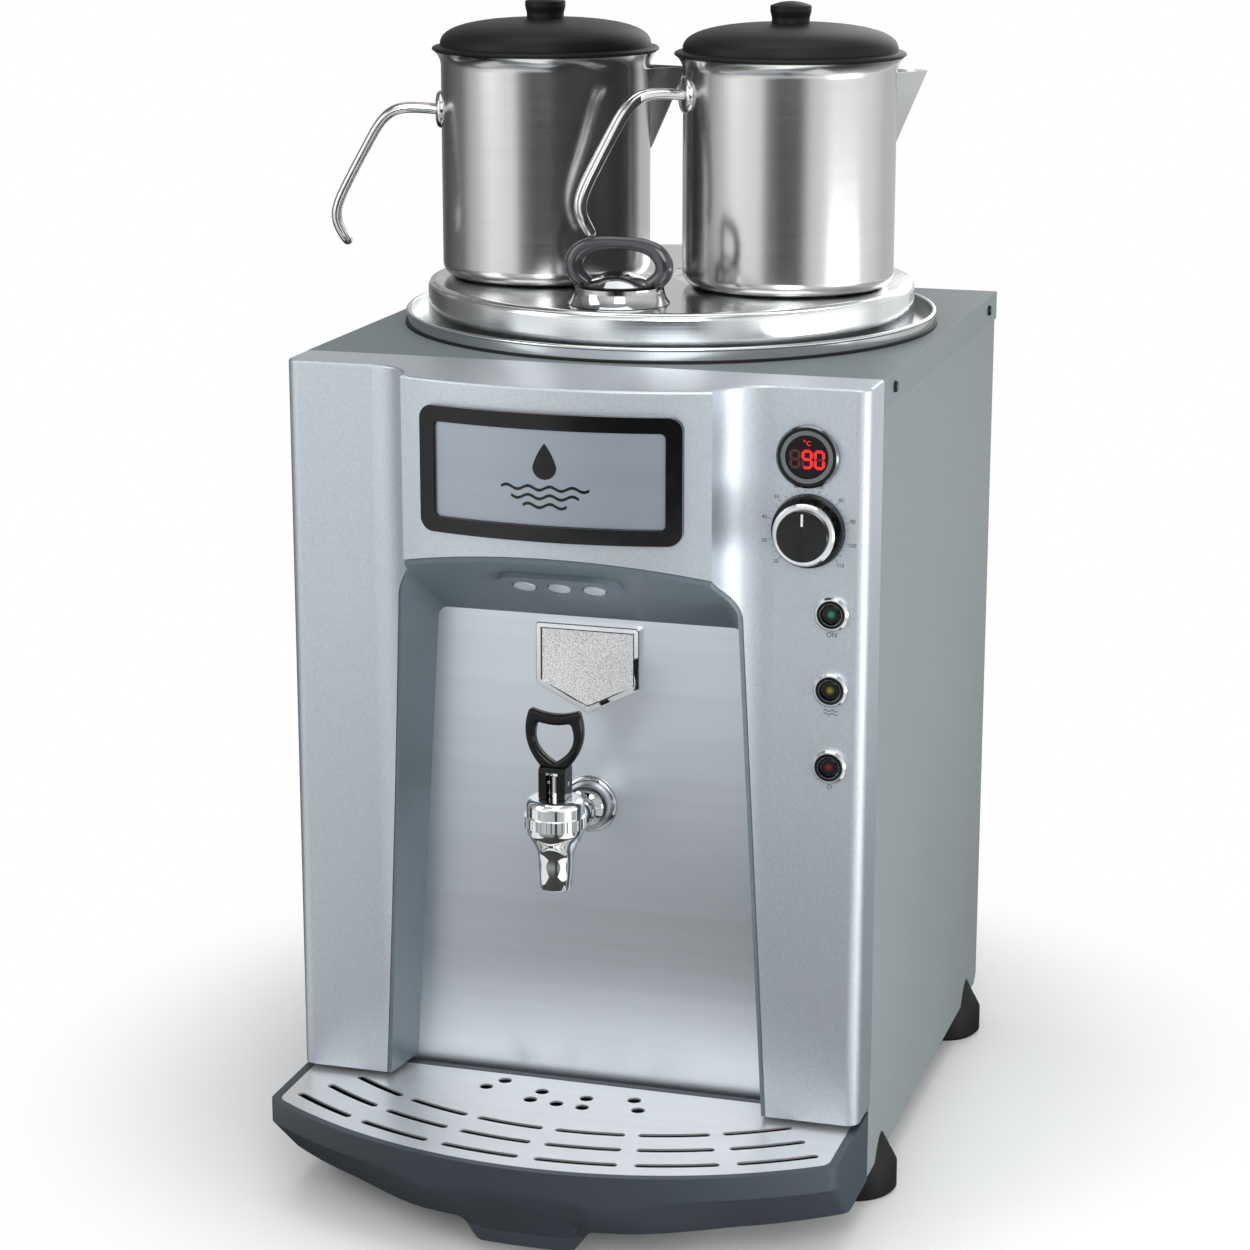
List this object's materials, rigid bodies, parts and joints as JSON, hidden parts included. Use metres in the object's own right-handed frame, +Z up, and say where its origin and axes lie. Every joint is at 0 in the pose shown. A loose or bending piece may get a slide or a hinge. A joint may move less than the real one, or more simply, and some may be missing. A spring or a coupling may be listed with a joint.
{
  "type": "countertop tea boiler",
  "caption": "Countertop hot water boiler with a bow front, lever tap in an arched recess, thermostat knob, lamps, pull-out drip tray, and lidded teapots standing on its round lid.",
  "frame": {"origin": "on the worktop under the centre of the cabinet, at the height of the soles of the feet", "axes": "+Z up, -Y out of the front, +X to the right seen from the front"},
  "size_m": [0.3912, 0.508, 0.7078],
  "materials": {
    "cabinet_paint": "satin grey powder coat",
    "silver_plastic": "silver metallic satin",
    "slate_plastic": "dark slate, satin",
    "tray_plastic": "dark slate, satin",
    "black_plastic": "black, satin",
    "gloss_black": "black, glossy",
    "bakelite": "dark grey-brown, glossy",
    "brushed_steel": "brushed stainless steel",
    "polished_steel": "polished stainless steel",
    "pot_steel": "fine horizontal brushing",
    "chrome": "bright chrome",
    "brass_nut": "plain brass",
    "silver_print": "silver plate",
    "green_lens": "green lens",
    "amber_lens": "amber lens",
    "red_lens": "red lens",
    "clear_lens": "clear lens",
    "smoked_window": "smoked red window",
    "silicone": "silicone",
    "wool": "mineral wool",
    "spring_steel": "spring wire",
    "ceramic_white": "white insulating plastic"
  },
  "bodies": {
    "cabinet": {"left_side_panel": "cabinet_paint", "right_side_panel": "cabinet_paint", "rear_panel": "cabinet_paint", "base_plate": "cabinet_paint", "top_cover": "cabinet_paint", "front_bulkhead": "brushed_steel", "cover_screws": "gloss_black", "rear_screws": "gloss_black", "foot_front_left": "black_plastic", "foot_front_right": "black_plastic", "foot_rear_left": "black_plastic", "foot_rear_right": "black_plastic", "front_panel": "silver_plastic", "recess_liner": "slate_plastic", "sign_frame": "gloss_black", "sign_plate": "silver_print", "badge_plate": "chrome", "light_housing": "slate_plastic", "light_lenses": "clear_lens", "meter_bezel": "gloss_black", "meter_window": "smoked_window", "lamp_bezels": "chrome", "lamp_lens_green": "green_lens", "lamp_lens_amber": "amber_lens", "lamp_lens_red": "red_lens", "thermostat_body": "ceramic_white", "tap_body": "chrome", "tap_bonnet": "chrome", "tap_rosette": "chrome", "shank_nut": "brass_nut", "shank_seal": "silicone", "valve_spring": "spring_steel", "tray_rails": "spring_steel", "boiler_tank": "polished_steel", "insulation_jacket": "wool", "heater_element": "spring_steel", "limit_thermostat": "ceramic_white", "terminal_block": "ceramic_white", "cord_gland": "black_plastic", "gland_nut": "black_plastic"},
    "valve": {"valve_stem": "chrome", "valve_cup": "silicone"},
    "lever": {"tap_lever": "gloss_black", "lever_pin": "chrome"},
    "knob": {"thermostat_knob": "gloss_black", "knob_trim_ring": "chrome", "thermostat_shaft": "spring_steel"},
    "tray": {"tray_pan": "tray_plastic", "tray_grille": "brushed_steel"},
    "lid": {"boiler_lid": "polished_steel"},
    "filler": {"filler_cap": "polished_steel", "filler_cap_grip": "bakelite"},
    "left_pot": {"left_teapot_body": "pot_steel", "left_teapot_handle": "polished_steel"},
    "left_pot_lid": {"left_teapot_lid": "black_plastic", "left_teapot_lid_knob": "black_plastic"},
    "right_pot": {"right_teapot_body": "pot_steel", "right_teapot_handle": "polished_steel"},
    "right_pot_lid": {"right_teapot_lid": "black_plastic", "right_teapot_lid_knob": "black_plastic"}
  },
  "joints": [
    {"name": "valve_lift", "type": "slide", "parent": "cabinet", "child": "valve", "axis": [0, 0, 1], "range_m": [0, 0.0045], "deforming": ["valve_spring"]},
    {"name": "lever_tilt", "type": "hinge", "parent": "valve", "child": "lever", "pos_m": [0, -0.24, 0.2755], "axis": [1, 0, 0], "range_deg": [0, 30], "stiffness_Nm_per_rad": 0.15},
    {"name": "knob_turn", "type": "hinge", "parent": "cabinet", "child": "knob", "pos_m": [0.1405, -0.209, 0.427], "axis": [0, 1, 0], "range_deg": [0, 270]},
    {"name": "tray_slide", "type": "slide", "parent": "cabinet", "child": "tray", "axis": [0, -1, 0], "range_m": [0, 0.15]},
    {"name": "lid_lift", "type": "slide", "parent": "cabinet", "child": "lid", "axis": [0, 0, 1], "range_m": [0, 0.1]},
    {"name": "filler_cap_lift", "type": "slide", "parent": "lid", "child": "filler", "axis": [0, 0, 1], "range_m": [0, 0.06]},
    {"name": "left_pot_lift", "type": "slide", "parent": "lid", "child": "left_pot", "axis": [0, 0, 1], "range_m": [0, 0.12]},
    {"name": "left_pot_lid_lift", "type": "slide", "parent": "left_pot", "child": "left_pot_lid", "axis": [0, 0, 1], "range_m": [0, 0.06]},
    {"name": "right_pot_lift", "type": "slide", "parent": "lid", "child": "right_pot", "axis": [0, 0, 1], "range_m": [0, 0.12]},
    {"name": "right_pot_lid_lift", "type": "slide", "parent": "right_pot", "child": "right_pot_lid", "axis": [0, 0, 1], "range_m": [0, 0.06]}
  ],
  "couplings": [
    {"joint": "valve_lift", "follows": "lever_tilt", "m_per_rad": 0.008}
  ]
}
